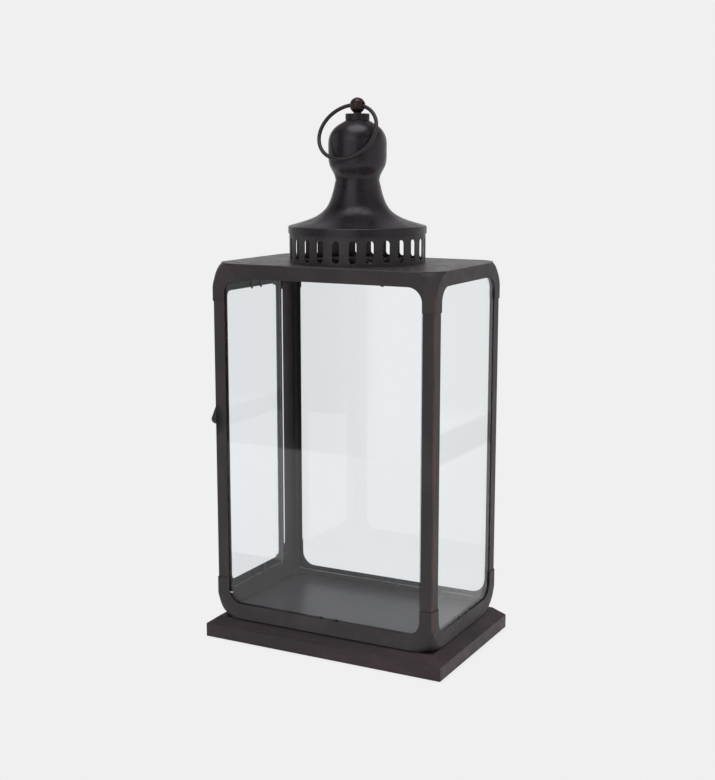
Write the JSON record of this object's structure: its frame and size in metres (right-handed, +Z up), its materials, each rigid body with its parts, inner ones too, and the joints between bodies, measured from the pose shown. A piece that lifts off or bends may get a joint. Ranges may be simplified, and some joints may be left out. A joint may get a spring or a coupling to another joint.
{
  "type": "candle lantern",
  "caption": "Tall metal and glass candle lantern on a stepped plinth, with a hinged glass door, slotted vent collar, flared chimney, ball finial and swinging carrying ring.",
  "frame": {"origin": "centre of the plinth's underside, where the lantern stands", "axes": "+Z up, -Y towards the wide front pane, -X towards the door"},
  "size_m": [0.2813, 0.177, 0.5711],
  "materials": {
    "frame_paint": "dark oil-rubbed bronze paint, satin, edges worn to a dull reddish brown",
    "base_paint": "the same dark bronze paint on the stepped plinth",
    "floor_satin": "smooth satin bronze-grey that blurs reflections",
    "pane_glass": "clear float glass with a faint green edge",
    "clip_steel": "small bare sheet clips",
    "fastener_steel": "blackened steel",
    "hinge_paint": "dark bronze paint",
    "knob_bronze": "dark bronze, satin",
    "ball_bronze": "brownish bronze, glossier than the sheet",
    "ring_bronze": "dark bronze wire, satin",
    "magnet_plastic": "black moulded housing",
    "board_fibre": "raw brown fibreboard"
  },
  "bodies": {
    "frame": {"bottom_frame": "frame_paint", "top_frame": "frame_paint", "roof_plate": "frame_paint", "post_front_left": "frame_paint", "post_front_right": "frame_paint", "post_back_left": "frame_paint", "post_back_right": "frame_paint", "vent_collar": "frame_paint", "chimney_cap": "frame_paint", "chimney_dome": "frame_paint", "finial_collar": "frame_paint", "catch_strip": "frame_paint", "base_plinth": "base_paint", "floor_plate": "floor_satin", "glass_front": "pane_glass", "glass_back": "pane_glass", "glass_right": "pane_glass", "clips_front": "clip_steel", "clips_back": "clip_steel", "clips_right": "clip_steel", "base_screws": "fastener_steel", "collar_rivets": "fastener_steel", "catch_rivets": "fastener_steel", "finial_nut": "fastener_steel", "hinge_pins": "fastener_steel", "hinge_leaves_frame": "hinge_paint", "finial_ball": "ball_bronze", "catch_magnet": "magnet_plastic", "underside_board": "board_fibre"},
    "door": {"door_frame": "frame_paint", "hinge_leaves_door": "hinge_paint", "glass_door": "pane_glass", "clips_door": "clip_steel", "door_pull": "knob_bronze", "pull_rivet": "fastener_steel"},
    "ring": {"ring_handle": "ring_bronze"}
  },
  "joints": [
    {"name": "door_hinge", "type": "hinge", "parent": "frame", "child": "door", "pos_m": [-0.129, 0.0563, 0.21395], "axis": [0, 0, -1], "range_deg": [0, 110]},
    {"name": "ring_swing", "type": "hinge", "parent": "frame", "child": "ring", "pos_m": [0, 0, 0.5631], "axis": [-1, 0, 0], "range_deg": [0, 298.1]}
  ]
}
